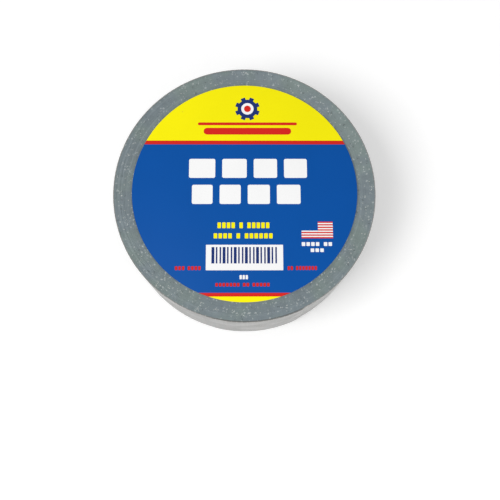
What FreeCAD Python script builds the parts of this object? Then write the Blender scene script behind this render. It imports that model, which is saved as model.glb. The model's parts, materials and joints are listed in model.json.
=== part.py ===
"""Roll of cloth duct tape with a round card label over its core.

The roll lies on one face: +Z runs up through the core to the label, and the origin is
the centre of the lower face.  Sizes are in millimetres and angles in degrees.

The tape is one long strip, so the outline of the roll is a spiral.  One turn of it is
four quarter arcs whose centres step round a small square, a quarter of the tape's
thickness on a side.  The radius then grows by one thickness a turn, and each layer of
the tape is an exact offset of the layer below it.
"""
import FreeCAD, Part
import Sketcher
import os

DOC = FreeCAD.newDocument("duct_tape_roll")

# Driving dimensions: alias, value, what it is.
DIMENSIONS = [
    ("roll_diameter", 135.0, "over the last turn at the cut end of the tape"),
    ("tape_width", 48.0, "width of the tape, and so of the roll"),
    ("core_bore", 76.2, "bore of the paperboard core, three inches"),
    ("ply_thickness", 0.8, "one paper ply of the core"),
    ("core_recess", 0.3, "how far the core stops short of each face of the roll"),
    ("adhesive_layer", 0.14, "rubber adhesive on the inside of the tape"),
    ("scrim_layer", 0.08, "woven cloth in the middle of the tape"),
    ("film_layer", 0.10, "polyethylene film on the outside of the tape"),
    ("lift_gap", 0.2, "clearance under the loose end of the tape"),
    ("link_length", 16.0, "one bending length of the loose end"),
    ("link_gap", 0.3, "clearance between two bending lengths"),
    ("tape_end_angle", 296.0, "direction of the cut end of the tape, from +X"),
    ("label_margin", 10.0, "bare ring of windings outside the label"),
    ("glue_layer", 0.1, "thickness of the glue under the label"),
    ("glue_rim_margin", 3.0, "from the label's edge in to the glue"),
    ("glue_core_margin", 1.0, "from the core out to the glue"),
    ("board_layer", 0.4, "thickness of the label's greyboard"),
    ("print_layer", 0.1, "thickness of the printed paper on the label"),
]

# The core's paper plies, from the bore outwards.
PLIES = ["core_liner_ply", "core_inner_ply", "core_outer_ply", "core_cover_ply"]

# Bending lengths of the loose end of the tape, and quarter arcs in one turn.
LINKS = 3
QUARTERS = 4

# Sizes that several pieces share, each written once from the sheet's cells.
TAPE = "(dims.adhesive_layer + dims.scrim_layer + dims.film_layer)"
QUARTER_STEP = f"({TAPE} / {QUARTERS})"
PACK_RADIUS = f"(dims.roll_diameter / 2 - dims.lift_gap - 2 * {TAPE})"
CORE_RADIUS = f"(dims.core_bore / 2 + {len(PLIES)} * dims.ply_thickness)"
LABEL_RADIUS = "(dims.roll_diameter / 2 - dims.label_margin)"
DEGREES_PER_MM = "(360 / (pi * dims.roll_diameter))"
LINK_TURN = f"(dims.link_length * {DEGREES_PER_MM})"
GAP_TURN = f"(dims.link_gap * {DEGREES_PER_MM})"

# The tape's layers from the inside out: name, distance to its underside, thickness.
LAYERS = [
    ("adhesive", "0", "dims.adhesive_layer"),
    ("scrim", "dims.adhesive_layer", "dims.scrim_layer"),
    ("film", "(dims.adhesive_layer + dims.scrim_layer)", "dims.film_layer"),
]

# The label's layers from the windings up: name, height of its underside, thickness.
LABEL_BASE = "dims.tape_width"
BOARD_BASE = f"({LABEL_BASE} + dims.glue_layer)"
PRINT_BASE = f"({BOARD_BASE} + dims.board_layer)"


def bind(feature, **expressions):
    """Binds properties of a feature; a double underscore stands for a dot."""
    for name, expression in expressions.items():
        feature.setExpression(name.replace("__", "."), expression)


def make_sheet():
    """The spreadsheet that holds the driving dimensions."""
    sheet = DOC.addObject("Spreadsheet::Sheet", "dims")
    for row, (alias, value, meaning) in enumerate(DIMENSIONS, start=1):
        sheet.set(f"A{row}", meaning)
        sheet.set(f"B{row}", str(value))
        sheet.setAlias(f"B{row}", alias)
    DOC.recompute()


def add_circle(sketch, start_radius, radius):
    """A circle about the sketch's origin with its radius bound to an expression."""
    centre = FreeCAD.Vector(0, 0, 0)
    upwards = FreeCAD.Vector(0, 0, 1)
    circle = sketch.addGeometry(Part.Circle(centre, upwards, start_radius))
    sketch.addConstraint(Sketcher.Constraint("Coincident", circle, 3, -1, 1))
    size = sketch.addConstraint(Sketcher.Constraint("Radius", circle, start_radius))
    sketch.setExpression(f"Constraints[{size}]", radius)


def round_body(name, radii, base, height):
    """A disc, or a ring where two radii are given, padded up from its base."""
    body = DOC.addObject("PartDesign::Body", name)
    sketch = body.newObject("Sketcher::SketchObject", f"{name}_outline")
    plane = next(f for f in body.Origin.OriginFeatures if f.Role == "XY_Plane")
    sketch.AttachmentSupport = [(plane, "")]
    sketch.MapMode = "FlatFace"
    for order, radius in enumerate(radii, start=1):
        add_circle(sketch, 10 * order, radius)
    pad = body.newObject("PartDesign::Pad", f"{name}_pad")
    pad.Profile = sketch
    bind(pad, Length=height)
    bind(body, Placement__Base__z=base)
    return body


def make_core():
    """The core: paper plies, each wound tight on the one inside it."""
    plies = []
    for order, name in enumerate(PLIES):
        radii = [f"dims.core_bore / 2 + {step} * dims.ply_thickness" for step in (order, order + 1)]
        length = "dims.tape_width - 2 * dims.core_recess"
        plies.append(round_body(name, radii, "dims.core_recess", length))
    return plies


def make_label():
    """The label: a ring of glue, a greyboard disc and its printed paper."""
    glue_radii = [f"{CORE_RADIUS} + dims.glue_core_margin", f"{LABEL_RADIUS} - dims.glue_rim_margin"]
    return [
        round_body("label_glue", glue_radii, LABEL_BASE, "dims.glue_layer"),
        round_body("label_board", [LABEL_RADIUS], BOARD_BASE, "dims.board_layer"),
        round_body("label_print", [LABEL_RADIUS], PRINT_BASE, "dims.print_layer"),
    ]


def sector(name, quarter, radius, start, turn):
    """A slice of a cylinder as wide as the tape, about the centre of one quarter arc.

    The quarter's centre is a corner of the small square.  The start is an angle in the
    spiral's own frame, in which the last turn begins and ends in the direction of +X.
    """
    across = -1 if quarter in (0, 1) else 1
    along = -1 if quarter in (1, 2) else 1
    piece = DOC.addObject("Part::Cylinder", name)
    bind(piece, Radius=radius, Height="dims.tape_width", Angle=turn)
    bind(piece, Placement__Base__x=f"{across} * {QUARTER_STEP} / 2")
    bind(piece, Placement__Base__y=f"{along} * {QUARTER_STEP} / 2")
    bind(piece, Placement__Rotation__Angle=start)
    return piece


def quarter_radius(quarter):
    """Radius of the windings under the last turn, in one of its quarters."""
    return f"({PACK_RADIUS} + {quarter} * {QUARTER_STEP})"


def strip(name, quarter, underside, thickness, start, turn):
    """A length of one layer of the tape, bent to the arc of one quarter."""
    outer = sector(f"{name}_outer", quarter, f"{underside} + {thickness}", start, turn)
    inner = sector(f"{name}_inner", quarter, underside, start, turn)
    piece = DOC.addObject("Part::Cut", name)
    piece.Base = outer
    piece.Tool = inner
    return piece


def turn_spiral(piece):
    """Turns a finished piece so that the cut end of the tape points its own way."""
    bind(piece, Placement__Rotation__Angle="dims.tape_end_angle")
    return piece


def make_wound_tape():
    """The turns under the last one, wound solid round the core."""
    quarters = DOC.addObject("Part::MultiFuse", "wound_tape_quarters")
    quarters.Shapes = [
        sector(f"wound_tape_quarter_{order}", order, quarter_radius(order), f"{90 * order}", "90")
        for order in range(QUARTERS)
    ]
    core_space = DOC.addObject("Part::Cylinder", "wound_tape_core_space")
    bind(core_space, Radius=CORE_RADIUS, Height="dims.tape_width")
    wound = DOC.addObject("Part::Cut", "wound_tape")
    wound.Base = quarters
    wound.Tool = core_space
    return turn_spiral(wound)


def make_outer_turn():
    """The last turn, in its three layers, up to where the loose end begins."""
    pieces = []
    last_turn = f"90 - {LINKS} * ({LINK_TURN} + {GAP_TURN})"
    for layer, depth, thickness in LAYERS:
        name = f"outer_turn_{layer}"
        turn = DOC.addObject("Part::MultiFuse", name)
        turn.Shapes = [
            strip(
                f"{name}_quarter_{order}",
                order,
                f"({quarter_radius(order)} + {depth})",
                thickness,
                f"{90 * order}",
                last_turn if order == QUARTERS - 1 else "90",
            )
            for order in range(QUARTERS)
        ]
        pieces.append(turn_spiral(turn))
    return pieces


def make_tape_end():
    """The loose end: bending lengths in the last quarter, clear of the turn below."""
    pieces = []
    last_quarter = QUARTERS - 1
    for link in range(1, LINKS + 1):
        to_end = LINKS + 1 - link
        start = f"360 - {to_end} * {LINK_TURN} - {to_end - 1} * {GAP_TURN}"
        for layer, depth, thickness in LAYERS:
            underside = f"({quarter_radius(last_quarter)} + dims.lift_gap + {depth})"
            name = f"tape_end_{link}_{layer}"
            pieces.append(turn_spiral(strip(name, last_quarter, underside, thickness, start, LINK_TURN)))
    return pieces


def check_document(pieces):
    """Stops the build if an object failed or a piece is not one sound solid."""
    for feature in DOC.Objects:
        if "Invalid" in feature.State or "Error" in feature.State:
            raise RuntimeError(f"{feature.Label} failed: {feature.State}")
    for piece in pieces:
        if piece.Shape.isNull() or not piece.Shape.isValid():
            raise RuntimeError(f"{piece.Label} has no sound shape")
        if len(piece.Shape.Solids) != 1:
            raise RuntimeError(f"{piece.Label} has {len(piece.Shape.Solids)} solids")


def write_pieces(pieces):
    """Writes each piece to its own STEP file, named for it."""
    os.makedirs("parts", exist_ok=True)
    for piece in pieces:
        piece.Shape.exportStep(f"parts/{piece.Label}.step")
        print(f"{piece.Label}: {piece.Shape.Volume:.1f} mm3")


def main():
    """Builds the roll and writes its pieces."""
    make_sheet()
    pieces = make_core() + [make_wound_tape()] + make_outer_turn() + make_tape_end() + make_label()
    DOC.recompute()
    check_document(pieces)
    write_pieces(pieces)


main()
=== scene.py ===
"""Looks of a roll of cloth duct tape with a round card label.

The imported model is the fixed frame.  Every size that a piece shares with it is read from
it, and the rest are fields of the class that builds the piece.  Lengths are in metres and
angles in radians unless a name says otherwise.
"""
import json
import logging
import math
import random
from dataclasses import dataclass
from enum import Enum
from typing import Callable, Sequence

import bmesh
import bpy
from mathutils import Euler, Matrix, Vector, noise


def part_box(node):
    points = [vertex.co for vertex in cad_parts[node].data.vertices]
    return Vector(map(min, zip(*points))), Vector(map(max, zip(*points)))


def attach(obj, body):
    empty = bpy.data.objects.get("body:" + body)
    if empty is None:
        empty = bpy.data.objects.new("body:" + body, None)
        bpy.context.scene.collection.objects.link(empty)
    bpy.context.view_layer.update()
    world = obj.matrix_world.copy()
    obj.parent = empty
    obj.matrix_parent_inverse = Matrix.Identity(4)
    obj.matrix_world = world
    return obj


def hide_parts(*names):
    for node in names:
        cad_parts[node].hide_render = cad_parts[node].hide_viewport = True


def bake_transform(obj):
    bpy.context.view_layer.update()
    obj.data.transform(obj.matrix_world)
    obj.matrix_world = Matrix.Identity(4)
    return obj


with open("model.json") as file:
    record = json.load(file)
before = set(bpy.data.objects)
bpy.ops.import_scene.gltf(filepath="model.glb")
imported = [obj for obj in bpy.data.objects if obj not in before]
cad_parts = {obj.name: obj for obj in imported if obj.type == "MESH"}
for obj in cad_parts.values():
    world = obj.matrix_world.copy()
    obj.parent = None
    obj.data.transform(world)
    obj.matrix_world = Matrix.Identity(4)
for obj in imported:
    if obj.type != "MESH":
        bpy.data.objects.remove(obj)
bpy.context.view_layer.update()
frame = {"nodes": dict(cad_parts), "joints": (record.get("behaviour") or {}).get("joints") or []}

LOG = logging.getLogger("tape_roll")
MM = 0.001
TURN = 2 * math.pi
UV_NAME = "tape_sheet"
HAIR = 1e-6
WELD = 1e-7
WHITE = (1.0, 1.0, 1.0, 1.0)
Material = bpy.types.Material
Mesh = bmesh.types.BMesh
Pair = tuple[float, float]
Place = Callable[[float, float, float], Vector]
Socket = bpy.types.NodeSocket
Tone = tuple[int, int, int]
Triple = tuple[float, float, float]


class Body(str, Enum):
    """The moving bodies of the roll."""

    ROLL = "roll"
    LABEL = "label"
    END_1 = "tape_end_1"
    END_2 = "tape_end_2"
    END_3 = "tape_end_3"


class Slot(str, Enum):
    """The record's material slots."""

    FILM = "tape_film"
    SCRIM = "tape_scrim"
    ADHESIVE = "tape_adhesive"
    WOUND_EDGE = "wound_edge"
    CORE_PAPER = "core_paper"
    BOARD = "label_board"
    PRINT = "label_print"


class Ink(Enum):
    """The inks of the label, as display values from 0 to 255."""

    YELLOW = (254, 243, 2)
    RED = (214, 38, 28)
    BLUE = (0, 80, 162)
    NAVY = (28, 50, 112)
    WHITE = (250, 250, 250)

    @property
    def number(self) -> int:
        """Its place among the inks, and so among a printed piece's materials."""
        return list(Ink).index(self)


def linear(display: Sequence[int]) -> tuple[float, float, float, float]:
    """The linear colour that a shader takes, opaque, for display values from 0 to 255."""
    shares = [value / 255 for value in display]
    return (*(s / 12.92 if s <= 0.04045 else ((s + 0.055) / 1.055) ** 2.4 for s in shares), 1.0)


def reach(node: str) -> float:
    """Largest distance of a CAD node's corners from the core's axis."""
    return max(math.hypot(v.co.x, v.co.y) for v in frame["nodes"][node].data.vertices)


def smooth_step(share: float) -> float:
    """A share from 0 to 1, eased at both ends."""
    held = min(max(share, 0.0), 1.0)
    return held * held * (3 - 2 * held)


def polar(radius: float, angle: float, z: float) -> Vector:
    """A point at a radius and an angle round the core's axis, and at a height."""
    return Vector((radius * math.cos(angle), radius * math.sin(angle), z))


@dataclass(frozen=True)
class Wave:
    """Smooth noise over a surface.

    Attributes:
        scale: how fast it runs along each of three measures of the surface.
        start: where in the noise it starts.
        share: how much it adds to, or takes from, a middle height of one half.
    """

    scale: Triple
    start: Triple
    share: float


def waver(waves: Sequence[Wave], *measures: float) -> float:
    """The height of waves taken together, mostly from 0 to 1.

    Args:
        waves: the waves.
        measures: three numbers that say where on the surface.

    Returns:
        The height.
    """
    height = 0.5
    for wave in waves:
        steps = zip(wave.start, wave.scale, measures)
        height += wave.share * noise.noise([start + scale * run for start, scale, run in steps])
    return height


def stand(name: str, data: bpy.types.ID) -> bpy.types.Object:
    """Adds an object to the scene.

    Args:
        name: the object's name.
        data: its mesh, lamp or camera.

    Returns:
        The object.
    """
    made = bpy.data.objects.new(name, data)
    bpy.context.scene.collection.objects.link(made)
    return made


# ---- finishes


class Nodes:
    """A node tree being made."""

    def __init__(self, tree: bpy.types.NodeTree) -> None:
        """Takes the tree that the nodes go into."""
        self.tree = tree

    def feed(self, entry: Socket, value: object) -> None:
        """Joins a node's entry to a socket, or sets it to a value.

        Args:
            entry: the entry.
            value: the socket or the value.
        """
        if isinstance(value, Socket):
            self.tree.links.new(value, entry)
        else:
            entry.default_value = value

    def node(self, kind: str, inputs: dict, **settings: object) -> bpy.types.Node:
        """Adds a node.

        Args:
            kind: the node's type, without its ShaderNode prefix.
            inputs: an entry's name or number to what feeds it.
            settings: the node's own properties.

        Returns:
            The new node.
        """
        made = self.tree.nodes.new(f"ShaderNode{kind}")
        for name, value in settings.items():
            setattr(made, name, value)
        for entry, value in inputs.items():
            self.feed(made.inputs[entry], value)
        return made

    def math(self, operation: str, *values: object) -> Socket:
        """An operation on numbers or sockets."""
        return self.node("Math", dict(enumerate(values)), operation=operation).outputs[0]

    def vector(self, operation: str, inputs: dict, output: int | str = 0) -> Socket:
        """An operation on vectors."""
        return self.node("VectorMath", inputs, operation=operation).outputs[output]

    def level(self, value: object, low: float, high: float, start: float = 0.0,
              end: float = 1.0) -> Socket:
        """Spreads the stretch from low to high smoothly over start to end."""
        inputs = {"Value": value, 1: low, 2: high, 3: start, 4: end}
        return self.node("MapRange", inputs, interpolation_type="SMOOTHSTEP").outputs[0]

    def seen(self) -> Socket:
        """1 where the camera, a reflection or glass looks; 0 for light that falls.

        Returns:
            The socket that carries it.
        """
        rays = self.node("LightPath", {}).outputs
        direct = self.math("MAXIMUM", rays["Is Camera Ray"], rays["Is Glossy Ray"])
        return self.math("MAXIMUM", direct, rays["Is Transmission Ray"])


class Bench(Nodes):
    """A material being made: a surface shader and the nodes that feed it."""

    def __init__(self, name: str, **surface: float) -> None:
        """Starts a material.

        Args:
            name: the material's name.
            surface: values for the surface shader's entries, with _ for a space.
        """
        self.material = bpy.data.materials.new(name)
        self.material.use_nodes = True
        super().__init__(self.material.node_tree)
        self.surface = self.tree.nodes["Principled BSDF"].inputs
        for entry, value in surface.items():
            self.feed(self.surface[entry.replace("_", " ")], value)

    def place(self) -> Socket:
        """The piece's own coordinates, in metres."""
        return self.node("TexCoord", {}).outputs["Object"]

    def sheet(self) -> Socket:
        """Where a point of the tape lies on the flat sheet, in metres."""
        return self.node("UVMap", {}, uv_map=UV_NAME).outputs[0]

    def radius(self, place: Socket) -> Socket:
        """Distance of a place from the core's axis."""
        flat = self.vector("MULTIPLY", {0: place, 1: (1.0, 1.0, 0.0)})
        return self.vector("LENGTH", {0: flat}, "Value")

    def noise(self, vector: Socket, scale: float, detail: float = 2.0) -> Socket:
        """Smooth noise with that many features in a metre."""
        inputs = {"Vector": vector, "Scale": scale, "Detail": detail}
        return self.node("TexNoise", inputs).outputs["Fac"]

    def lot(self, value: Socket) -> Socket:
        """A random number from 0 to 1 for each whole number that a value passes."""
        inputs = {"W": self.math("FLOOR", value)}
        return self.node("TexWhiteNoise", inputs, noise_dimensions="1D").outputs["Value"]

    def layers(self, radius: Socket, start: float, thickness: float) -> Socket:
        """How many layers lie between a start and a radius."""
        return self.math("DIVIDE", self.math("SUBTRACT", radius, start), thickness)

    def stir(self, base: Socket, *grains: tuple[Socket, float]) -> Socket:
        """Adds noises to a value.

        Args:
            base: the value.
            grains: each noise, from 0 to 1, with how much it adds from end to end.

        Returns:
            The sum.
        """
        for grain, amount in grains:
            centred = self.math("SUBTRACT", grain, 0.5)
            base = self.math("MULTIPLY_ADD", centred, amount, base)
        return base

    def mix(self, share: object, one: object, other: object) -> Socket:
        """A blend of two colours."""
        return self.node("Mix", {0: share, 6: one, 7: other}, data_type="RGBA").outputs[2]

    def colour(self, source: Socket) -> None:
        """Joins a colour to the surface."""
        self.feed(self.surface["Base Color"], source)

    def tint(self, tone: Sequence[int], shade: Socket) -> None:
        """Gives the surface a display colour, darker or lighter by a factor near 1."""
        self.colour(self.vector("SCALE", {0: linear(tone)[:3], "Scale": shade}))

    def bump(self, height: Socket, depth: float) -> None:
        """Raises the surface by a height from 0 to 1, times a depth in metres."""
        made = self.node("Bump", {"Height": height, "Distance": depth, "Strength": 1.0})
        self.feed(self.surface["Normal"], made.outputs[0])


@dataclass(frozen=True)
class Weave:
    """The open gauze in the tape, as threads on the sheet's own UV map.

    Attributes:
        warp_pitch: distance between the threads that run along the tape.
        weft_pitch: distance between the threads that run across it.
        thread: share of a pitch that a thread takes, each side of its middle.
        stray: how far the threads stray along and across the tape.
        stray_scale: bends of a straying thread in a metre.
    """

    warp_pitch: float = 1.35 * MM
    weft_pitch: float = 2.6 * MM
    thread: float = 0.2
    stray: Pair = (0.9 * MM, 0.7 * MM)
    stray_scale: float = 190.0

    def height(self, bench: Bench) -> Socket:
        """The threads' height from 0 to 1.

        Args:
            bench: the material that reads it.

        Returns:
            The socket that carries the height.
        """
        wander = bench.noise(bench.sheet(), self.stray_scale, 0.0)
        runs = bench.node("SeparateXYZ", {0: bench.sheet()}).outputs
        ridges = []
        for run, stray, pitch in zip(runs, self.stray, (self.weft_pitch, self.warp_pitch)):
            strayed = bench.math("MULTIPLY_ADD", wander, stray, run)
            step = bench.math("PINGPONG", bench.math("DIVIDE", strayed, pitch), 0.5)
            ridges.append(bench.level(step, 0.0, self.thread, 1.0, 0.0))
        return bench.math("MAXIMUM", *ridges)


@dataclass(frozen=True)
class TapeFilm:
    """Silver-grey polyethylene film with the gauze pressed into it.

    Attributes:
        tone: its display colour.
        roughness: its middle roughness.
        spread: how far that falls and rises in patches.
        mottle: how much the streaks and the patches change its shade.
    """

    tone: Tone = (139, 139, 137)
    roughness: float = 0.36
    spread: Pair = (-0.07, 0.08)
    mottle: float = 0.16

    def material(self) -> Material:
        """Makes the film's material.

        Returns:
            The material.
        """
        bench = Bench("silver_film", Roughness=self.roughness, Metallic=0.55,
                      Specular_IOR_Level=0.5)
        threads = Weave().height(bench)
        stretched = bench.node("Mapping", {"Vector": bench.sheet(), "Scale": (9.0, 300.0, 1.0)})
        streaks = bench.noise(stretched.outputs[0], 1.0, 3.0)
        patches = bench.noise(bench.sheet(), 70.0, 3.0)
        shade = bench.math("MULTIPLY_ADD", threads, 0.035, 0.982)
        bench.tint(self.tone, bench.stir(shade, (streaks, self.mottle), (patches, self.mottle)))
        ends = [self.roughness + step for step in self.spread]
        bench.feed(bench.surface["Roughness"], bench.level(patches, 0.3, 0.7, *ends))
        grain = bench.noise(bench.sheet(), 1500.0)
        bench.bump(bench.math("MULTIPLY_ADD", grain, 0.2, threads), 0.025 * MM)
        return bench.material


@dataclass(frozen=True)
class TapeAdhesive:
    """Tacky grey rubber, with the gauze showing through it."""

    tone: Tone = (150, 151, 149)

    def material(self) -> Material:
        """Makes the adhesive's material.

        Returns:
            The material.
        """
        bench = Bench("grey_adhesive", Roughness=0.3, Specular_IOR_Level=0.5)
        threads = Weave().height(bench)
        lumps = bench.noise(bench.sheet(), 420.0, 4.0)
        shade = bench.math("MULTIPLY_ADD", threads, 0.16, 0.84)
        bench.tint(self.tone, bench.math("MULTIPLY_ADD", lumps, 0.2, shade))
        bench.bump(bench.math("MULTIPLY_ADD", threads, 0.6, lumps), 0.05 * MM)
        return bench.material


@dataclass(frozen=True)
class Scrim:
    """Off-white cotton gauze, sunk in the adhesive between its threads."""

    thread_tone: Tone = (226, 224, 215)
    gap_tone: Tone = (140, 142, 140)

    def material(self) -> Material:
        """Makes the gauze's material.

        Returns:
            The material.
        """
        bench = Bench("cotton_gauze", Roughness=0.85, Specular_IOR_Level=0.2)
        threads = Weave().height(bench)
        bench.colour(bench.mix(threads, linear(self.gap_tone), linear(self.thread_tone)))
        bench.bump(threads, 0.05 * MM)
        return bench.material


@dataclass(frozen=True)
class Grained:
    """A plain stuff with one grain, which shades it and may raise it.

    Attributes:
        name: the material's name.
        tone: its display colour.
        roughness: how rough it is.
        specular: strength of its reflections.
        grain: the grain's features in a metre, and its detail.
        levels: the grain's values that count as lowest and highest.
        shades: factors of the colour at those two.
        relief: how far the grain stands up.
    """

    name: str
    tone: Tone
    roughness: float
    specular: float
    grain: Pair
    levels: Pair
    shades: Pair
    relief: float

    def material(self) -> Material:
        """Makes the material.

        Returns:
            The material.
        """
        bench = Bench(self.name, Roughness=self.roughness, Specular_IOR_Level=self.specular)
        grain = bench.noise(bench.place(), *self.grain)
        bench.tint(self.tone, bench.level(grain, *self.levels, *self.shades))
        if self.relief:
            bench.bump(grain, self.relief)
        return bench.material


THREAD_END = Grained("cut_cotton", (224, 226, 222), 0.9, 0.15, (2600.0, 2.0), (0.2, 0.8),
                     (0.78, 1.04), 0.0)
CREAM_GLUE = Grained("cream_glue", (222, 216, 196), 0.28, 0.5, (330.0, 4.0), (0.25, 0.75),
                     (0.86, 1.03), 0.05 * MM)


@dataclass(frozen=True)
class CutEdge:
    """The slit edges of the wound layers: grey-green, flecked with thread ends.

    Attributes:
        core_radius: where the first turn starts.
        pitch: one thickness of tape.
        tone: display colour of the slit rubber.
        cool_tone: the bluer grey that it drifts to in patches.
        fleck_tone: display colour of the thread ends.
        pit_tone: display colour of the dark specks.
        mottle: how much the smears, the clouds and the grain each change its shade.
        pit_shift: from the pattern of light specks to that of dark ones.
    """

    core_radius: float
    pitch: float
    tone: Tone = (132, 145, 143)
    cool_tone: Tone = (130, 141, 146)
    fleck_tone: Tone = (196, 203, 203)
    pit_tone: Tone = (84, 92, 95)
    mottle: float = 0.3
    pit_shift: Triple = (0.3, 0.1, 0.2)

    def material(self) -> Material:
        """Makes the slit edges' material.

        Returns:
            The material.
        """
        bench = Bench("slit_edges", Roughness=0.6, Specular_IOR_Level=0.3)
        place = bench.place()
        light = self._flecks(bench, place, 780.0, 0.56)
        dark = self._flecks(bench, bench.vector("ADD", {0: place, 1: self.pit_shift}), 620.0, 0.8)
        grain = bench.noise(place, 1900.0)
        drift = bench.level(bench.noise(place, 75.0, 1.0), 0.35, 0.65)
        tone = bench.mix(drift, linear(self.tone), linear(self.cool_tone))
        base = bench.vector("SCALE", {0: tone, "Scale": self._shade(bench, place, grain)})
        flecked = bench.mix(bench.math("MULTIPLY", light, 0.75), base, linear(self.fleck_tone))
        bench.colour(bench.mix(bench.math("MULTIPLY", dark, 0.55), flecked, linear(self.pit_tone)))
        bench.bump(bench.math("MULTIPLY_ADD", light, 0.8, grain), 0.08 * MM)
        return bench.material

    def _shade(self, bench: Bench, place: Socket, grain: Socket) -> Socket:
        """The shade of each turn, with smears along it, clouds and a grain.

        Args:
            bench: the material that reads it.
            place: the piece's coordinates.
            grain: the fine grain.

        Returns:
            The socket that carries the factor.
        """
        parts = bench.node("SeparateXYZ", {0: place}).outputs
        angle = bench.math("ARCTAN2", parts[1], parts[0])
        radius = bench.radius(place)
        turns = bench.layers(radius, self.core_radius, self.pitch)
        own = bench.lot(bench.math("MULTIPLY_ADD", angle, -1 / TURN, turns))
        unrolled = {0: bench.math("MULTIPLY", angle, 26.0), 1: bench.math("MULTIPLY", radius, 90.0)}
        smears = bench.noise(bench.node("CombineXYZ", unrolled).outputs[0], 1.0, 3.0)
        clouds = bench.noise(place, 130.0, 4.0)
        shade = bench.math("MULTIPLY_ADD", own, 0.07, 0.965)
        return bench.stir(shade, *((source, self.mottle) for source in (smears, clouds, grain)))

    def _flecks(self, bench: Bench, place: Socket, scale: float, bare: float) -> Socket:
        """Scattered spots from 0 to 1.

        Args:
            bench: the material that reads them.
            place: where the spots lie.
            scale: cells in a metre, each with at most one spot.
            bare: share of the cells left without a spot.

        Returns:
            The socket that carries the spots.
        """
        stray = bench.node("TexNoise", {"Vector": place, "Scale": 1.7 * scale, "Detail": 2.0})
        shift = {0: stray.outputs["Color"], 1: (1.5 / scale,) * 3, 2: place}
        ragged = bench.vector("MULTIPLY_ADD", shift)
        cells = bench.node("TexVoronoi", {"Vector": ragged, "Scale": scale}).outputs
        pick = bench.node("SeparateColor", {0: cells["Color"]}).outputs
        size = bench.level(pick[1], 0.0, 1.0, 0.2, 0.46)
        away = bench.math("DIVIDE", cells["Distance"], size)
        spot = bench.level(away, 0.45, 1.0, 1.0, 0.0)
        return bench.math("MULTIPLY", spot, bench.math("GREATER_THAN", pick[0], bare))


@dataclass(frozen=True)
class CorePaper:
    """Brown paperboard of the core, fibrous and matt, with each ply its own brown.

    Attributes:
        bore_radius: inside of the first ply.
        ply_thickness: thickness of a ply.
        tone: display colour of the paper.
    """

    bore_radius: float
    ply_thickness: float
    tone: Tone = (180, 153, 118)

    def material(self) -> Material:
        """Makes the core paper's material.

        Returns:
            The material.
        """
        bench = Bench("core_paper", Roughness=0.88, Specular_IOR_Level=0.2)
        place = bench.place()
        fibres = bench.noise(place, 520.0, 6.0)
        clouds = bench.noise(place, 60.0, 3.0)
        own = bench.lot(bench.layers(bench.radius(place), self.bore_radius, self.ply_thickness))
        ply_shade = bench.math("MULTIPLY_ADD", own, 0.28, 0.86)
        shade = bench.math("MULTIPLY_ADD", fibres, 0.5, 0.62)
        shade = bench.math("MULTIPLY_ADD", clouds, 0.24, shade)
        bench.tint(self.tone, bench.math("MULTIPLY", shade, ply_shade))
        bench.bump(fibres, 0.06 * MM)
        return bench.material


@dataclass(frozen=True)
class Greyboard:
    """Recycled board under the label's printed paper, with dark scraps in its pulp."""

    tone: Tone = (168, 163, 152)

    def material(self) -> Material:
        """Makes the board's material.

        Returns:
            The material.
        """
        bench = Bench("greyboard", Roughness=0.9, Specular_IOR_Level=0.2)
        place = bench.place()
        pulp = bench.noise(place, 240.0, 6.0)
        cells = bench.node("TexVoronoi", {"Vector": place, "Scale": 420.0}).outputs
        scraps = bench.level(cells["Distance"], 0.05, 0.14, 0.72, 1.0)
        shade = bench.math("MULTIPLY_ADD", pulp, 0.4, 0.8)
        bench.tint(self.tone, bench.math("MULTIPLY", shade, scraps))
        bench.bump(pulp, 0.04 * MM)
        return bench.material


@dataclass(frozen=True)
class Printed:
    """Coated paper printed in one ink."""

    ink: Ink

    def material(self) -> Material:
        """Makes the printed paper's material.

        Returns:
            The material.
        """
        bench = Bench(f"print_{self.ink.name.lower()}", Roughness=0.52, Specular_IOR_Level=0.1)
        place = bench.place()
        grain = bench.noise(place, 2200.0, 3.0)
        fine = bench.level(grain, 0.2, 0.8, 0.97, 1.02)
        broad = bench.level(bench.noise(place, 45.0), 0.3, 0.7, 0.985, 1.01)
        bench.tint(self.ink.value, bench.math("MULTIPLY", fine, broad))
        bench.bump(grain, 0.012 * MM)
        return bench.material


class Finishes:
    """All the roll's materials, each made once."""

    def __init__(self, core_radius: float, pitch: float, bore: Pair) -> None:
        """Makes the materials.

        Args:
            core_radius: where the first turn of tape starts.
            pitch: one thickness of tape.
            bore: radius of the bore and thickness of a ply of the core.
        """
        self.film = TapeFilm().material()
        self.adhesive = TapeAdhesive().material()
        self.scrim = Scrim().material()
        self.thread_end = THREAD_END.material()
        self.cut_edge = CutEdge(core_radius, pitch).material()
        self.core_paper = CorePaper(*bore).material()
        self.greyboard = Greyboard().material()
        self.glue = CREAM_GLUE.material()
        self.inks = [Printed(ink).material() for ink in Ink]


# ---- mesh helpers


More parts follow.
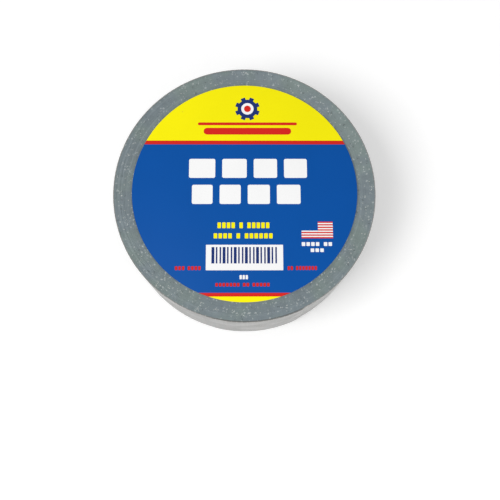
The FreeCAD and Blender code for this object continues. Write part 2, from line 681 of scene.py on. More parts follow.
def sheet(columns: int, rows: int, place: Place, sheet_size: Pair, start: float = 0.0,
          closed_round: bool = False) -> Mesh:
    """A thin closed sheet: a grid given a thickness, then laid by a formula.

    Args:
        columns: cells along the sheet.
        rows: cells across it.
        place: where the corner at (along, across, through), each 0 to 1, goes.
        sheet_size: length and width of the flat sheet, for its UV map.
        start: run of the tape at which the sheet starts, for its UV map.
        closed_round: whether the sheet's two ends meet, offset by whole rows.

    Returns:
        The sheet's mesh, with its UV map.
    """
    bm = bmesh.new()
    bmesh.ops.create_grid(bm, x_segments=columns, y_segments=rows, size=0.5)
    bmesh.ops.translate(bm, verts=bm.verts, vec=(0.5, 0.5, 0.0))
    raise_faces(bm, 1.0)
    if closed_round:
        ends = [f for f in bm.faces if all(v.co.x < HAIR for v in f.verts)]
        ends += [f for f in bm.faces if all(v.co.x > 1 - HAIR for v in f.verts)]
        bmesh.ops.delete(bm, geom=ends, context="FACES_ONLY")
    uv = bm.loops.layers.uv.new(UV_NAME)
    for face in bm.faces:
        for loop in face.loops:
            corner = loop.vert.co
            loop[uv].uv = (start + corner.x * sheet_size[0], corner.y * sheet_size[1])
    for vert in bm.verts:
        vert.co = place(*vert.co)
    if closed_round:
        bmesh.ops.remove_doubles(bm, verts=bm.verts, dist=WELD)
        bmesh.ops.holes_fill(bm, edges=[e for e in bm.edges if e.is_boundary], sides=0)
    bmesh.ops.recalc_face_normals(bm, faces=bm.faces)
    if bm.calc_volume(signed=True) < 0:
        bmesh.ops.reverse_faces(bm, faces=bm.faces)
    return bm


def raise_faces(bm: Mesh, thickness: float) -> None:
    """Gives the faces of a flat mesh a thickness upwards.

    Args:
        bm: the mesh.
        thickness: its thickness.
    """
    upper = bmesh.ops.extrude_face_region(bm, geom=bm.faces[:])["geom"]
    raised = [part for part in upper if isinstance(part, bmesh.types.BMVert)]
    bmesh.ops.translate(bm, verts=raised, vec=(0.0, 0.0, thickness))


def make_piece(name: str, bm: Mesh, slot: Slot, materials: Sequence[Material],
               body: Body | None = None, replaces: Sequence[str] = (),
               sharp_degrees: float = 35.0) -> bpy.types.Object:
    """Turns a mesh into a named piece of the roll.

    Args:
        name: the piece's name.
        bm: its mesh, in place; freed here.
        slot: the record's material slot; not used.
        materials: the piece's materials, in the order that its faces count them.
        body: the body it rides on, or None where it rides on none.
        replaces: CAD nodes that it stands for.
        sharp_degrees: edges that turn by more than this stay crisp.

    Returns:
        The new object.
    """
    mesh = bpy.data.meshes.new(name)
    bm.to_mesh(mesh)
    bm.free()
    for material in materials:
        mesh.materials.append(material)
    mesh.shade_smooth()
    mesh.set_sharp_from_angle(angle=math.radians(sharp_degrees))
    piece = stand(name, mesh)
    if body is not None:
        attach(piece, body.value)
    if replaces:
        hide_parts(*replaces)
    LOG.info("%s: %d faces", name, len(mesh.polygons))
    return piece


def ink_new(bm: Mesh, before: set, ink: Ink) -> None:
    """Gives an ink to the faces of a mesh that it didn't have before."""
    for face in set(bm.faces) - before:
        face.material_index = ink.number


def bevel(bm: Mesh, edges: list, offset: float, segments: int) -> None:
    """Rounds edges of a mesh, with the materials beside them."""
    bmesh.ops.bevel(bm, geom=edges, offset=offset, offset_type="OFFSET", segments=segments,
                    profile=0.5, affect="EDGES", material=-1)


def add_block(bm: Mesh, centre: Vector, size: Vector, corner: float, ink: Ink) -> None:
    """Adds a flat block with round corners.

    Args:
        bm: the mesh that gets it.
        centre: its middle.
        size: its width, height and thickness.
        corner: radius of its corners, seen from above.
        ink: its ink.
    """
    before = set(bm.faces)
    place = Matrix.Translation(centre) @ Matrix.Diagonal((*size, 1.0))
    corners = bmesh.ops.create_cube(bm, size=1.0, matrix=place)["verts"]
    edges = {edge for vert in corners for edge in vert.link_edges}
    upright = [e for e in edges if abs(e.verts[0].co.z - e.verts[1].co.z) > size.z / 2]
    bevel(bm, upright, corner, 4)
    ink_new(bm, before, ink)


# ---- the tape


@dataclass(frozen=True)
class TapeLayer:
    """One of the tape's bonded layers.

    Attributes:
        name: the layer's name, as its CAD nodes have it.
        depth: from the underside of the tape to the underside of the layer.
        thickness: the layer's own.
        edge_inset: how far its slit edge stands back from the film's.
        slot: the record's material slot.
    """

    name: str
    depth: float
    thickness: float
    edge_inset: float
    slot: Slot


TAPE_LAYERS = (
    TapeLayer("adhesive", 0.0, 0.14 * MM, 0.06 * MM, Slot.ADHESIVE),
    TapeLayer("scrim", 0.14 * MM, 0.08 * MM, 0.0, Slot.SCRIM),
    TapeLayer("film", 0.22 * MM, 0.10 * MM, 0.02 * MM, Slot.FILM),
)


@dataclass(frozen=True)
class Spiral:
    """The line that the last turn of the tape follows, seen along the core's axis.

    Attributes:
        start_radius: radius of the windings where the last turn begins.
        pitch: one thickness of tape, by which a turn grows.
        end_angle: direction of the tape's cut end.
    """

    start_radius: float
    pitch: float
    end_angle: float

    def angle(self, turn: float) -> float:
        """Direction of a point on the last turn, which runs from 0 to 1."""
        return self.end_angle + TURN * turn

    def turn_at(self, point: Sequence[float]) -> float:
        """How far round the last turn a point lies, from 0 to 1."""
        return ((math.atan2(point[1], point[0]) - self.end_angle) / TURN) % 1.0

    def point(self, turn: float, height: float, z: float) -> Vector:
        """A point that far round, that high over the turn below, and at that z."""
        radius = self.start_radius + self.pitch * turn + height
        return polar(radius, self.angle(turn), z)

    def share(self, length: float) -> float:
        """Share of a turn that a length of tape takes."""
        return length / (TURN * self.start_radius)

    def run(self, start: float, end: float) -> float:
        """Length of tape between two points of the last turn."""
        return (end - start) * TURN * self.start_radius


@dataclass
class WoundTape:
    """The turns under the last one, with the slit edge of each as a ridge.

    Attributes:
        finishes: the roll's materials.
        spiral: the line of the last turn.
        core_radius: outside of the core.
        width: width of the tape.
        columns: cells round a turn.
        ridge: how far a slit edge stands out past the joint between two layers.
        wander: how far a turn's edge strays from flush.
        fibres: thread ends on each face.
        fibre: least and greatest half length, width and height of one, in millimetres.
        sunk: from the face down to the middle of one.
        margins: bare width by the core and by the last turn.
        clumping: share of them that lie close to another.
        clump_size: how far apart those are.
        bare_side: direction in which the others lie farthest apart, in degrees.
        kept: share of the others kept a quarter turn from there, and how many fewer there.
        tilt: how far one tips up or down.
        edge_waves: how a turn's edge strays, by its turn and its face.
        skin: thickness of the film on the outside, which is a piece of its own.
    """

    finishes: Finishes
    spiral: Spiral
    core_radius: float
    width: float
    columns: int = 176
    ridge: float = 0.05 * MM
    wander: float = 0.16 * MM
    fibres: int = 640
    fibre: Sequence[Pair] = ((0.12, 0.5), (0.06, 0.17), (0.04, 0.07))
    sunk: float = 0.12 * MM
    margins: Pair = (1 * MM, 0.6 * MM)
    clumping: float = 0.38
    clump_size: float = 0.9 * MM
    bare_side: float = 55.0
    kept: Pair = (0.6, 0.4)
    tilt: float = 0.1
    edge_waves: Sequence[Wave] = (
        Wave((2.7, 6.0, 0.0), (0.0, 3.0, 0.0), 0.6),
        Wave((0.23, -4.0, 0.0), (0.0, 5.0, 0.0), 0.2),
    )
    skin: float = 0.1 * MM

    def build(self) -> None:
        """Builds the windings, their outer film and the thread ends on both faces."""
        turns = round((self.spiral.start_radius - self.core_radius) / self.spiral.pitch)
        pitch = (self.spiral.start_radius - self.core_radius) / turns
        rows = 2 * turns

        def place(along: float, across: float, through: float) -> Vector:
            """Lays a corner of the sheet as a point of a slit edge.

            Args:
                along: share of a turn.
                across: share of the way from the core to the last turn.
                through: 0 at the lower face, 1 at the upper.

            Returns:
                The point.
            """
            count = across * turns + along
            radius = self.core_radius + count * pitch
            if across > 1 - HAIR:
                radius -= self.skin
            upper = through > 0.5
            side = self._edge(count, round(across * rows) % 2 == 1, upper)
            return polar(radius, self.spiral.angle(along), self.width - side if upper else side)

        flat = (TURN * self.core_radius, self.width)
        bm = sheet(self.columns, rows, place, flat, closed_round=True)
        make_piece("windings", bm, Slot.WOUND_EDGE, [self.finishes.cut_edge], Body.ROLL,
                   ["wound_tape"], 60.0)
        self._skin()
        self._thread_ends("thread_ends_upper", self.width, 5)
        self._thread_ends("thread_ends_lower", 0.0, 6)

    def _skin(self) -> None:
        """The film of the turn under the last one, bared where the end is peeled."""
        inset = self.wander / 2

        def place(along: float, across: float, through: float) -> Vector:
            """Lays a corner of the sheet on the spiral."""
            z = inset + (self.width - 2 * inset) * across
            return self.spiral.point(along, (through - 1) * self.skin, z)

        bm = sheet(self.columns, 2, place, (self.spiral.run(0.0, 1.0), self.width))
        make_piece("turn_below_film", bm, Slot.FILM, [self.finishes.film], Body.ROLL)

    def _edge(self, layers: float, on_ridge: bool, upper: bool) -> float:
        """How far a slit edge stands back from the face of the roll.

        Args:
            layers: turns from the core, with the share of the turn added.
            on_ridge: whether this is the middle of a layer, not a joint.
            upper: whether this is the upper face.

        Returns:
            The distance in metres.
        """
        if not on_ridge:
            return self.wander + self.ridge
        strayed = waver(self.edge_waves, layers, 0.0 if upper else 1.0, 0.0)
        return self.wander * min(max(strayed, 0.0), 1.0)

    def _thread_ends(self, name: str, z: float, seed: int) -> None:
        """Scatters short cut fibres over one face.

        Args:
            name: the piece's name.
            z: height of the face.
            seed: seed of its random places.
        """
        draw = random.Random(seed)
        bm = bmesh.new()
        inner = self.core_radius + self.margins[0]
        outer = self.spiral.start_radius - self.margins[1]
        sunk = z - self.sunk if z > 0 else z + self.sunk
        angle, radius, made = 0.0, inner, 0
        while made < self.fibres:
            if draw.random() < self.clumping:
                angle += draw.uniform(-1, 1) * self.clump_size / radius
                radius += draw.uniform(-1, 1) * self.clump_size
                radius = min(max(radius, inner), outer)
            else:
                angle = draw.uniform(0, TURN)
                radius = math.sqrt(draw.uniform(inner**2, outer**2))
                bareness = math.cos(angle - math.radians(self.bare_side))
                if draw.random() > self.kept[0] - self.kept[1] * bareness:
                    continue
            made += 1
            size = Vector([draw.uniform(*span) for span in self.fibre]) * MM
            turned = Euler((0.0, draw.uniform(-self.tilt, self.tilt), draw.uniform(0, TURN)))
            place = Matrix.Translation(polar(radius, angle, sunk)) @ turned.to_matrix().to_4x4()
            bmesh.ops.create_icosphere(bm, subdivisions=1, radius=1.0,
                                       matrix=place @ Matrix.Diagonal((*size, 1.0)))
        make_piece(name, bm, Slot.SCRIM, [self.finishes.thread_end], Body.ROLL)


@dataclass
class TapeStrip:
    """The last turn of the tape and its loose end, in their real layers.

    Attributes:
        finishes: the roll's materials.
        spiral: the line that the strip follows.
        width: width of the tape.
        lift: clearance that the cut end stands off by.
        lift_run: length over which it rises to that.
        inset: how far the slit edges stand back from the faces of the roll.
        cell: size of a cell of the mesh, along and across the tape.
        bends: how far before and after its hinge each length of the loose end reaches.
        torn: how uneven the torn end is.
        torn_waves: how it strays, by its height on the roll and the layer's depth.
        threads: loose threads at the torn end.
        thread_length: least and greatest length of one, in millimetres.
        thread_span: shares of the tape's width between which they lie.
        thread_lean: how far one leans up or down, beside its length.
        thread_root: how far one reaches back into the tape.
        thread_radii: its radius at its root and at its tip.
        ripple: depth of the film's waves.
        ripple_waves: how it waves, by the run of tape and its height on the roll.
        bubble_height: how far the air bubble by the cut end stands up.
        bubble_size: its half length along and across the tape.
        bubble_back: from the cut end back to its middle.
        bubble_level: share of the tape's width at which that lies.
        bubble_rise: how steeply it rises.
    """

    finishes: Finishes
    spiral: Spiral
    width: float
    lift: float
    lift_run: float = 7 * MM
    inset: float = 0.04 * MM
    cell: Pair = (1.2 * MM, 0.8 * MM)
    bends: Sequence[Pair] = ((2.4 * MM, 3.6 * MM), (12.2 * MM, 8 * MM), (8 * MM, 15.8 * MM))
    torn: float = 0.45 * MM
    torn_waves: Sequence[Wave] = (
        Wave((90.0, 0.0, 900.0), (0.0, 1.0, 0.0), 0.3),
        Wave((620.0, 0.0, 2500.0), (0.0, 5.0, 0.0), 0.2),
    )
    threads: int = 15
    thread_length: Pair = (1.2, 2.6)
    thread_span: Pair = (0.02, 0.98)
    thread_lean: float = 0.35
    thread_root: float = 0.8 * MM
    thread_radii: Pair = (0.05 * MM, 0.03 * MM)
    ripple: float = 0.05 * MM
    ripple_waves: Sequence[Wave] = (
        Wave((55.0, 45.0, 0.0), (0.0, 0.0, 2.0), -0.35),
        Wave((210.0, 30.0, 0.0), (0.0, 0.0, 7.0), -0.15),
    )
    bubble_height: float = 0.16 * MM
    bubble_size: Pair = (3.2 * MM, 15 * MM)
    bubble_back: float = 7 * MM
    bubble_level: float = 0.46
    bubble_rise: float = 1.6

    def build(self) -> None:
        """Builds every layer of the last turn and of the three lengths of loose end."""
        finishes = self.finishes
        materials = {Slot.FILM: finishes.film, Slot.SCRIM: finishes.scrim,
                     Slot.ADHESIVE: finishes.adhesive}
        hinges = [
            self.spiral.turn_at(joint["pos_m"])
            for joint in frame["joints"]
            if joint["type"] == "hinge"
        ]
        reaches = [
            (hinge - self.spiral.share(before), hinge + self.spiral.share(after))
            for hinge, (before, after) in zip(hinges, self.bends)
        ]
        root = reaches[0][0]
        middles = [(one[1] + other[0]) / 2 for one, other in zip(reaches, reaches[1:])]
        stops = [root] + middles + [1.0]
        for layer in TAPE_LAYERS:
            material = [materials[layer.slot]]
            bm = self._strip(layer, 0.0, root, root)
            make_piece(f"last_turn_{layer.name}", bm, layer.slot, material, Body.ROLL,
                       [f"outer_turn_{layer.name}"])
            for number, reach_turns in enumerate(reaches, start=1):
                bm = self._strip(layer, stops[number - 1], stops[number], root)
                piece = make_piece(f"loose_end_{number}_{layer.name}", bm, layer.slot, material,
                                   None, [f"tape_end_{number}_{layer.name}"])
                start, end = [
                    self.spiral.point(turn, self.spiral.pitch / 2, self.width / 2)
                    for turn in reach_turns
                ]
                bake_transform(piece)
        self._loose_threads()

    def _strip(self, layer: TapeLayer, start: float, end: float, root: float) -> Mesh:
        """One stretch of one layer.

        Args:
            layer: which layer.
            start: where the stretch starts, in turns.
            end: where it ends.
            root: where the loose end starts.

        Returns:
            The stretch's mesh.
        """
        length = self.spiral.run(start, end)
        columns = max(4, round(length / self.cell[0]))
        rows = round(self.width / self.cell[1])
        inset = layer.edge_inset + self.inset

        def place(along: float, across: float, through: float) -> Vector:
            """Lays a corner of the sheet on the spiral.

            Args:
                along: share of the stretch.
                across: share of the tape's width.
                through: 0 at the layer's underside, 1 at its top.

            Returns:
                The point.
            """
            z = inset + (self.width - 2 * inset) * across
            turn = start + (end - start) * along
            if end == 1.0:
                back = self.torn * waver(self.torn_waves, z, 0.0, layer.depth)
                turn -= self.spiral.share(back) * smooth_step(3 * along - 2)
            height = layer.depth + layer.thickness * through
            height += self.lift * smooth_step(self.spiral.run(root, turn) / self.lift_run)
            if layer.slot is Slot.FILM and through > 0.5:
                height += self._relief(turn, z)
            return self.spiral.point(turn, height, z)

        return sheet(columns, rows, place, (length, self.width), self.spiral.run(0.0, start))

    def _relief(self, turn: float, z: float) -> float:
        """Waves and the air bubble in the outside of the film.

        Args:
            turn: how far round the last turn.
            z: height on the roll.

        Returns:
            How far the film stands out, inwards as negative.
        """
        run = self.spiral.run(0.0, turn)
        height = -self.ripple * waver(self.ripple_waves, run, z, 0.0)
        back = (self.spiral.run(turn, 1.0) - self.bubble_back) / self.bubble_size[0]
        across = (z - self.width * self.bubble_level) / self.bubble_size[1]
        inside = self.bubble_rise * (1 - math.hypot(back, across))
        return height + self.bubble_height * smooth_step(inside)

    def _loose_threads(self) -> None:
        """Threads of the gauze that stick out of the torn end."""
        draw = random.Random(11)
        bm = bmesh.new()
        scrim = next(layer for layer in TAPE_LAYERS if layer.slot is Slot.SCRIM)
        height = self.lift + scrim.depth + scrim.thickness / 2
        root, tip = self.thread_radii
        for _ in range(self.threads):
            length = draw.uniform(*self.thread_length) * MM
            turn = 1.0 + self.spiral.share(length / 2 - self.thread_root)
            z = draw.uniform(*self.thread_span) * self.width
            centre = self.spiral.point(turn, height, z)
            along = Euler((0, 0, self.spiral.angle(turn))).to_matrix() @ Vector((0, 1, 0))
            along += Vector((0, 0, draw.uniform(-self.thread_lean, self.thread_lean)))
            turned = along.to_track_quat("Z", "Y").to_matrix().to_4x4()
            bmesh.ops.create_cone(bm, cap_ends=True, segments=6, radius1=root, radius2=tip,
                                  depth=length, matrix=Matrix.Translation(centre) @ turned)
        make_piece("loose_threads", bm, Slot.SCRIM, [self.finishes.thread_end], Body.END_3)


# ---- the core


@dataclass
class Core:
    """The paperboard core: plies of paper wound in a helix, each with its open seam.

    Attributes:
        finishes: the roll's materials.
        plies: CAD node of each ply, from the bore outwards.
        bore_radius: inside of the first ply.
        ply_thickness: thickness of a ply.
        low: height of the core's lower end.
        high: height of its upper end.
        seam: open width of a ply's seam.
        rise: height that a seam climbs in a full turn.
        skin: clearance on each side of a ply.
        ragged: how far a ply's cut ends stand back at most.
        fray: how they stray, by the direction in two parts and the ply.
        phase: direction of the first ply's seam, and its step to the next ply's.
        cells: cells round a ply and up it.
    """

    finishes: Finishes
    plies: Sequence[str]
    bore_radius: float
    ply_thickness: float
    low: float
    high: float
    seam: float = 0.5 * MM
    rise: float = 105 * MM
    skin: float = 0.02 * MM
    ragged: float = 0.14 * MM
    fray: Sequence[Wave] = (Wave((9.0, 9.0, 1.0), (0.0, 0.0, 4.0), 0.5),)
    phase: Pair = (-0.9, 2.1)
    cells: tuple[int, int] = (144, 24)

    def build(self) -> None:
        """Builds each ply."""
        for order, node in enumerate(self.plies):
            make_piece(f"{node}_paper", self._ply(order), Slot.CORE_PAPER,
                       [self.finishes.core_paper], Body.ROLL, [node], 50.0)

    def _ply(self, order: int) -> Mesh:
        """One ply, whose seam climbs the other way from its neighbours'.

        Args:
            order: its number from the bore outwards.

        Returns:
            The ply's mesh.
        """
        inner = self.bore_radius + order * self.ply_thickness
        gap = self.seam / inner
        lean = TURN / self.rise * (1 if order % 2 == 0 else -1)
        phase = self.phase[0] + self.phase[1] * order
        height = self.high - self.low

        def place(along: float, across: float, through: float) -> Vector:
            """Lays a corner of the sheet on the ply's helix.

            Args:
                along: share of the way round.
                across: share of the core's height.
                through: 0 at the ply's inside, 1 at its outside.

            Returns:
                The point.
            """
            angle = phase + gap / 2 + (TURN - gap) * along + lean * height * across
            radius = inner + self.skin + (self.ply_thickness - 2 * self.skin) * through
            back = self.ragged * waver(self.fray, math.cos(angle), math.sin(angle), order)
            return polar(radius, angle, self.low + back + (height - 2 * back) * across)

        return sheet(*self.cells, place, (TURN * inner, height))


# ---- the label


@dataclass(frozen=True)
class Mark:
    """A printed block, in shares of the label's radius from its centre.

    Attributes:
        across: its left and right edges.
        up: its lower and upper edges.
        ink: its ink.
        corner: radius of its corners.
        over: whether it is printed over another block.
    """

    across: Pair
    up: Pair
    ink: Ink
    corner: float
    over: bool = False


def row(across: Pair, up: Pair, shares: Sequence[float], gap: float = 0.062) -> list[Mark]:
    """A row of white blocks that fills a space.

    Args:
        across: left and right ends of the row.
        up: its lower and upper edges.
        shares: how wide each block is beside the others.
        gap: space between two blocks.

    Returns:
        The blocks, from left to right.
    """
    room = across[1] - across[0] - gap * (len(shares) - 1)
    marks, left = [], across[0]
    for share in shares:
        right = left + room * share / sum(shares)
        marks.append(Mark((left, right), up, Ink.WHITE, 0.016))
        left = right + gap
    return marks


def words(across: Pair, up: Pair, counts: Sequence[int], ink: Ink) -> list[Mark]:
    """A line of small plain blocks in groups, with a wider space between two groups.

    Args:
        across: left and right ends of the line.
        up: its lower and upper edges.
        counts: blocks in each group.
        ink: the blocks' ink.

    Returns:
        The blocks, from left to right.
    """
    space = 0.7
    step = (across[1] - across[0]) / (sum(counts) + space * (len(counts) - 1))
    marks, left = [], across[0]
    for count in counts:
        for _ in range(count):
            marks.append(Mark((left, left + 0.74 * step), up, ink, 0.004))
            left += step
        left += space * step
    return marks


@dataclass
class Label:
    """The round card label: board, printed paper and what is printed on it.

    Attributes:
        finishes: the roll's materials.
        radius: the label's radius.
        board: heights of the board's underside and top.
        paper: heights of the paper's underside and of the top of the ink.
        ink_depth: how far the ink stands up from the paper.
        block_rises: share of that to which a block stands, and one over another.
        bands: lower edge of each colour band and its ink, from the top down.
        title_shares: widths of the title's blocks beside each other.
        panel: left, right, lower and upper edges of the barred panel.
        bars: how many bars it has.
        bar_margins: bare space left and right of the bars, below and above them.
        stripes: how many stripes the striped panel has.
        flag: its left edge, the edge of its corner, its right, lower and upper edges.
        cog: middle and radius of the cog wheel.
        teeth: how many teeth it has.
        tooth: middle, length and width of one, as shares of the wheel's radius.
        wheels: radius, ink and height of each disc of the wheel, as shares.
    """

    finishes: Finishes
    radius: float
    board: Pair
    paper: Pair
    ink_depth: float = 0.04 * MM
    block_rises: Pair = (0.5, 0.95)
    bands: Sequence[tuple[float, Ink]] = (
        (0.466, Ink.YELLOW),
        (0.431, Ink.RED),
        (-0.918, Ink.BLUE),
        (-0.95, Ink.RED),
        (-1.0, Ink.YELLOW),
    )
    title_shares: Sequence[float] = (1.12, 1.05, 1.0, 0.98)
    panel: Sequence[float] = (-0.338, 0.334, -0.721, -0.495)
    bars: int = 18
    bar_margins: Sequence[float] = (0.045, 0.045, 0.06, 0.02)
    stripes: int = 13
    flag: Sequence[float] = (0.498, 0.642, 0.773, -0.438, -0.287)
    cog: tuple[Pair, float] = ((0.025, 0.772), 0.112)
    teeth: int = 8
    tooth: Triple = (0.75, 0.5, 0.36)
    wheels: Sequence[tuple[float, Ink, float]] = (
        (0.8, Ink.NAVY, 1.0),
        (0.5, Ink.WHITE, 1.2),
        (0.28, Ink.RED, 1.4),
    )

    def build(self) -> None:
        """Builds the board, the paper and the prints, and dresses the glue."""
        bm = self._disc(*self.board, 0.08 * MM)
        make_piece("label_card", bm, Slot.BOARD, [self.finishes.greyboard], Body.LABEL,
                   ["label_board"])
        self._paper()
        for name, marks in self.prints().items():
            self._marks(name, marks)
        self._cog()
        glue = frame["nodes"]["label_glue"].data
        glue.materials.clear()
        glue.materials.append(self.finishes.glue)

    def prints(self) -> dict[str, list[Mark]]:
        """Every printed block of the label.

        Returns:
            The blocks of each piece, by the piece's name.
        """
        return {
            "title_blocks": row((-0.497, 0.556), (0.115, 0.293), self.title_shares)
            + row((-0.468, 0.495), (-0.126, 0.051), self.title_shares[::-1]),
            "name_bars": [
                Mark((-0.423, 0.473), (0.614, 0.64), Ink.RED, 0.012),
                Mark((-0.37, 0.42), (0.524, 0.588), Ink.RED, 0.03),
            ],
            "size_dashes": words((-0.239, 0.227), (-0.346, -0.294), (4, 1, 5), Ink.YELLOW)
            + words((-0.272, 0.255), (-0.438, -0.392), (4, 1, 6), Ink.YELLOW),
            "bar_panel": self._bar_panel(),
            "striped_panel": self._striped_panel(),
            "small_dashes": words((0.498, 0.773), (-0.506, -0.472), (4, 2), Ink.WHITE)
            + words((0.575, 0.7), (-0.56, -0.528), (3,), Ink.WHITE)
            + words((-0.605, -0.374), (-0.719, -0.685), (3, 4), Ink.RED)
            + words((0.372, 0.633), (-0.719, -0.685), (2, 7), Ink.RED)
            + words((-0.045, 0.034), (-0.8, -0.763), (3,), Ink.WHITE)
            + words((-0.254, 0.222), (-0.862, -0.832), (7, 2, 5), Ink.RED),
        }

    def _bar_panel(self) -> list[Mark]:
        """A white panel with evenly spaced upright bars, thick and thin by turns.

        Returns:
            The panel and the bars over it.
        """
        left, right, low, high = self.panel
        before, after, below, above = self.bar_margins
        marks = [Mark((left, right), (low, high), Ink.WHITE, 0.004)]
        step = (right - left - before - after) / self.bars
        for number in range(self.bars):
            wide = step * (0.78 if number % 3 == 0 else 0.42)
            start = left + before + (number + 0.5) * step - wide / 2
            up = (low + below, high - above)
            marks.append(Mark((start, start + wide), up, Ink.NAVY, 0.001, over=True))
        return marks

    def _striped_panel(self) -> list[Mark]:
        """A white panel with a corner left out, and plain stripes across it.

        Returns:
            The panel's two blocks and the stripes over them.
        """
        left, notch, right, bottom, top = self.flag
        tall = (top - bottom) / self.stripes
        short = self.stripes // 2 + 1
        marks = [
            Mark((notch, right), (bottom, top), Ink.WHITE, 0.001),
            Mark((left, notch - 0.001), (bottom, top - short * tall), Ink.WHITE, 0.001),
        ]
        for number in range(0, self.stripes, 2):
            start = notch if number < short else left
            up = (top - (number + 1) * tall, top - number * tall)
            marks.append(Mark((start, right), up, Ink.RED, 0.0005, over=True))
        return marks

    def _disc(self, low: float, high: float, edge: float) -> Mesh:
        """A disc of the label's size with softened edges.

        Args:
            low: height of its underside.
            high: height of its top.
            edge: how far its edges are softened.

        Returns:
            The disc's mesh.
        """
        bm = bmesh.new()
        bmesh.ops.create_circle(bm, cap_ends=True, segments=200, radius=self.radius,
                                matrix=Matrix.Translation((0, 0, low)))
        raise_faces(bm, high - low)
        rims = [e for e in bm.edges if abs(e.verts[0].co.z - e.verts[1].co.z) < 1e-9]
        bevel(bm, rims, edge, 2)
        bmesh.ops.recalc_face_normals(bm, faces=bm.faces)
        return bm

    def _paper(self) -> None:
        """The printed paper, cut into its colour bands."""
        bm = self._disc(self.paper[0], self.paper[1] - self.ink_depth, 0.02 * MM)
        for lower, _ in self.bands[:-1]:
            geometry = bm.verts[:] + bm.edges[:] + bm.faces[:]
            level = (0, lower * self.radius, 0)
            bmesh.ops.bisect_plane(bm, geom=geometry, dist=WELD, plane_co=level,
                                   plane_no=(0, 1, 0))
        for face in bm.faces:
            height = face.calc_center_median().y / self.radius
            ink = next(ink for lower, ink in self.bands if height > lower or lower == -1.0)
            face.material_index = ink.number
        self._print("label_paper", bm, ["label_print"])

    def _marks(self, name: str, marks: Sequence[Mark]) -> None:
        """Prints a set of blocks; a block over another stands a hair higher.

        Args:
            name: the piece's name.
            marks: the blocks, each over the ones before it.
        """
        bm = bmesh.new()
        base = self.paper[1] - self.ink_depth
        low = base - self.ink_depth / 2
        for mark in marks:
            high = base + self.ink_depth * self.block_rises[mark.over]
            (left, right), (lower, upper) = mark.across, mark.up
            centre = Vector(((left + right) / 2, (lower + upper) / 2, 0)) * self.radius
            size = Vector((right - left, upper - lower, 0)) * self.radius
            centre.z, size.z = (low + high) / 2, high - low
            add_block(bm, centre, size, mark.corner * self.radius, mark.ink)
        self._print(name, bm)

    def _cog(self) -> None:
        """A plain cog wheel over the name bars, as a general sign for hardware."""
        bm = bmesh.new()
        (right, up), unit = self.cog
        unit *= self.radius
        base = self.paper[1] - self.ink_depth * 1.5
        middle = Vector((right * self.radius, up * self.radius, base))
        out, long, wide = [share * unit for share in self.tooth]
        size = Vector((long, wide, self.ink_depth * 0.9))
        for number in range(self.teeth):
            angle = TURN * (number + 0.5) / self.teeth
            tooth = Matrix.Translation(middle) @ Matrix.Rotation(angle, 4, "Z")
            place = tooth @ Matrix.Translation((out, 0, size.z / 2))
            bmesh.ops.create_cube(bm, size=1.0, matrix=place @ Matrix.Diagonal((*size, 1.0)))
        ink_new(bm, set(), Ink.NAVY)
        for share, ink, rise in self.wheels:
            before, radius, depth = set(bm.faces), share * unit, self.ink_depth * rise
            bmesh.ops.create_cone(bm, cap_ends=True, segments=64, radius1=radius, radius2=radius,
                                  depth=depth, matrix=Matrix.Translation(
                                      middle + Vector((0, 0, depth / 2))))
            ink_new(bm, before, ink)
        self._print("cog_sign", bm)

    def _print(self, name: str, bm: Mesh, replaces: Sequence[str] = ()) -> None:
        """Makes a printed piece of a mesh whose faces have their inks."""
        bmesh.ops.recalc_face_normals(bm, faces=bm.faces)
        make_piece(name, bm, Slot.PRINT, self.finishes.inks, Body.LABEL, replaces)


# ---- the studio


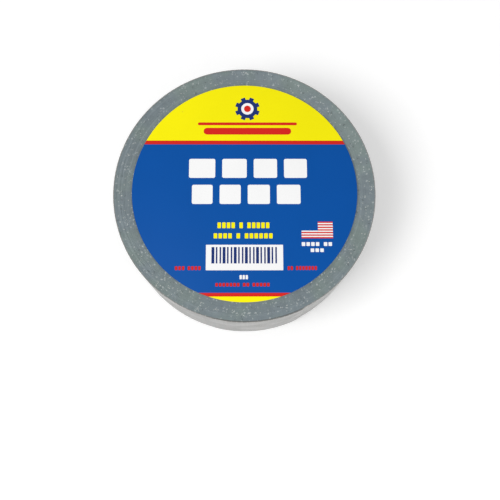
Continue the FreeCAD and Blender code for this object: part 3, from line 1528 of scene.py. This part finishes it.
@dataclass
class Studio:
    """Floor, lamps and camera.

    Attributes:
        label_top: centre of the label's face, which the camera looks at.
        elevation_degrees: how high the camera stands over the label's plane.
        distance: from the camera to the label's centre.
        lens: focal length in millimetres.
        sensor: width of the camera's sensor in millimetres.
        clip: nearest and farthest that the camera shows.
        aim: how far right of the label's centre, and how far below, the camera aims.
        ambient: strength of the even light from all round.
        floor_size: half the width of the floor.
        floor_tone: its linear colour where light falls on it.
        floor_glow: how much whiter the floor is seen than it is lit, close to the roll.
        far_glow: the same, far from the roll and the lamps.
        floor_fade: distances from the roll between which one turns into the other.
        lamps: name, place, width and power of each lamp.
    """

    label_top: Vector
    elevation_degrees: float = 73.1
    distance: float = 0.350
    lens: float = 49.2
    sensor: float = 36.0
    clip: Pair = (0.01, 10.0)
    aim: Pair = (0.0027, 0.0306)
    ambient: float = 0.62
    floor_size: float = 1.6
    floor_tone: tuple[float, float, float, float] = (0.86, 0.86, 0.86, 1.0)
    floor_glow: float = 0.12
    far_glow: float = 0.42
    floor_fade: Pair = (0.22, 0.9)
    lamps: Sequence[tuple[str, Triple, float, float]] = (
        ("key_lamp", (-0.55, -0.35, 0.95), 0.5, 5.6),
        ("fill_lamp", (0.8, -0.75, 0.11), 0.2, 3.4),
    )

    def build(self) -> None:
        """Sets the floor, the world, the lamps and the camera."""
        bpy.context.scene.view_settings.view_transform = "Standard"
        self._floor()
        self._world()
        for lamp in self.lamps:
            self._lamp(*lamp)
        self._camera()

    def _floor(self) -> None:
        """A wide pale floor."""
        bm = bmesh.new()
        bmesh.ops.create_grid(bm, x_segments=1, y_segments=1, size=self.floor_size)
        mesh = bpy.data.meshes.new("floor")
        bm.to_mesh(mesh)
        bm.free()
        bench = Bench("pale_floor", Roughness=0.9, Specular_IOR_Level=0.1, Emission_Color=WHITE)
        seen = bench.seen()
        bench.colour(bench.mix(seen, self.floor_tone, WHITE))
        away = bench.vector("LENGTH", {0: bench.place()}, "Value")
        whiter = bench.level(away, *self.floor_fade, self.floor_glow, self.far_glow)
        bench.feed(bench.surface["Emission Strength"], bench.math("MULTIPLY", seen, whiter))
        mesh.materials.append(bench.material)
        stand("floor", mesh)

    def _world(self) -> None:
        """Even light, with a white backdrop where the camera or a reflection sees it."""
        world = bpy.data.worlds.new("studio")
        bpy.context.scene.world = world
        world.use_nodes = True
        nodes = Nodes(world.node_tree)
        back = world.node_tree.nodes["Background"].inputs
        nodes.feed(back["Color"], WHITE)
        nodes.feed(back["Strength"], nodes.level(nodes.seen(), 0.0, 1.0, self.ambient, 1.0))

    def _lamp(self, name: str, place: Triple, size: float, power: float) -> None:
        """A square soft lamp that points at the roll.

        Args:
            name: the lamp's name.
            place: where it hangs.
            size: its width.
            power: its power in watts.
        """
        data = bpy.data.lights.new(name, "AREA")
        data.size = size
        data.energy = power
        lamp = stand(name, data)
        lamp.location = place
        lamp.rotation_euler = (self.label_top - Vector(place)).to_track_quat("-Z", "Y").to_euler()

    def _camera(self) -> None:
        """The camera, over the label's lower edge and looking down at it."""
        data = bpy.data.cameras.new("camera")
        data.lens = self.lens
        data.sensor_width = self.sensor
        data.clip_start, data.clip_end = self.clip
        camera = stand("camera", data)
        rise = math.radians(self.elevation_degrees)
        up = Vector((0, math.sin(rise), math.cos(rise)))
        away = Vector((0, -math.cos(rise), math.sin(rise)))
        camera.location = self.label_top + away * self.distance
        target = self.label_top + Vector((self.aim[0], 0, 0)) - up * self.aim[1]
        back = (camera.location - target).normalized()
        side = up.cross(back).normalized()
        camera.rotation_euler = Matrix((side, back.cross(side), back)).transposed().to_euler()
        bpy.context.scene.camera = camera


# ---- all of it


def main() -> None:
    """Builds the roll's pieces around the frame, then the studio."""
    logging.basicConfig(level=logging.INFO, format="%(name)s: %(message)s")
    pitch = sum(layer.thickness for layer in TAPE_LAYERS)
    lower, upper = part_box("wound_tape")
    width = upper.z - lower.z
    core_radius = reach("core_cover_ply")
    cut_end = max(frame["nodes"]["tape_end_3_film"].data.vertices,
                  key=lambda vert: math.atan2(vert.co.y, vert.co.x)).co
    spiral = Spiral(reach("wound_tape") - pitch, pitch, math.atan2(cut_end.y, cut_end.x))
    lift = reach("tape_end_3_film") - reach("wound_tape") - pitch

    plies = ["core_liner_ply", "core_inner_ply", "core_outer_ply", "core_cover_ply"]
    ply = reach(plies[1]) - reach(plies[0])
    bore_radius = reach(plies[0]) - ply
    core_low, core_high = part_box(plies[0])
    heights = [[corner.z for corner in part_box(node)] for node in ("label_board", "label_print")]

    finishes = Finishes(core_radius, pitch, (bore_radius, ply))
    WoundTape(finishes, spiral, core_radius, width).build()
    TapeStrip(finishes, spiral, width, lift).build()
    Core(finishes, plies, bore_radius, ply, core_low.z, core_high.z).build()
    Label(finishes, reach("label_print"), *heights).build()
    Studio(Vector((0, 0, heights[1][1]))).build()


if __name__ == "__main__":
    main()
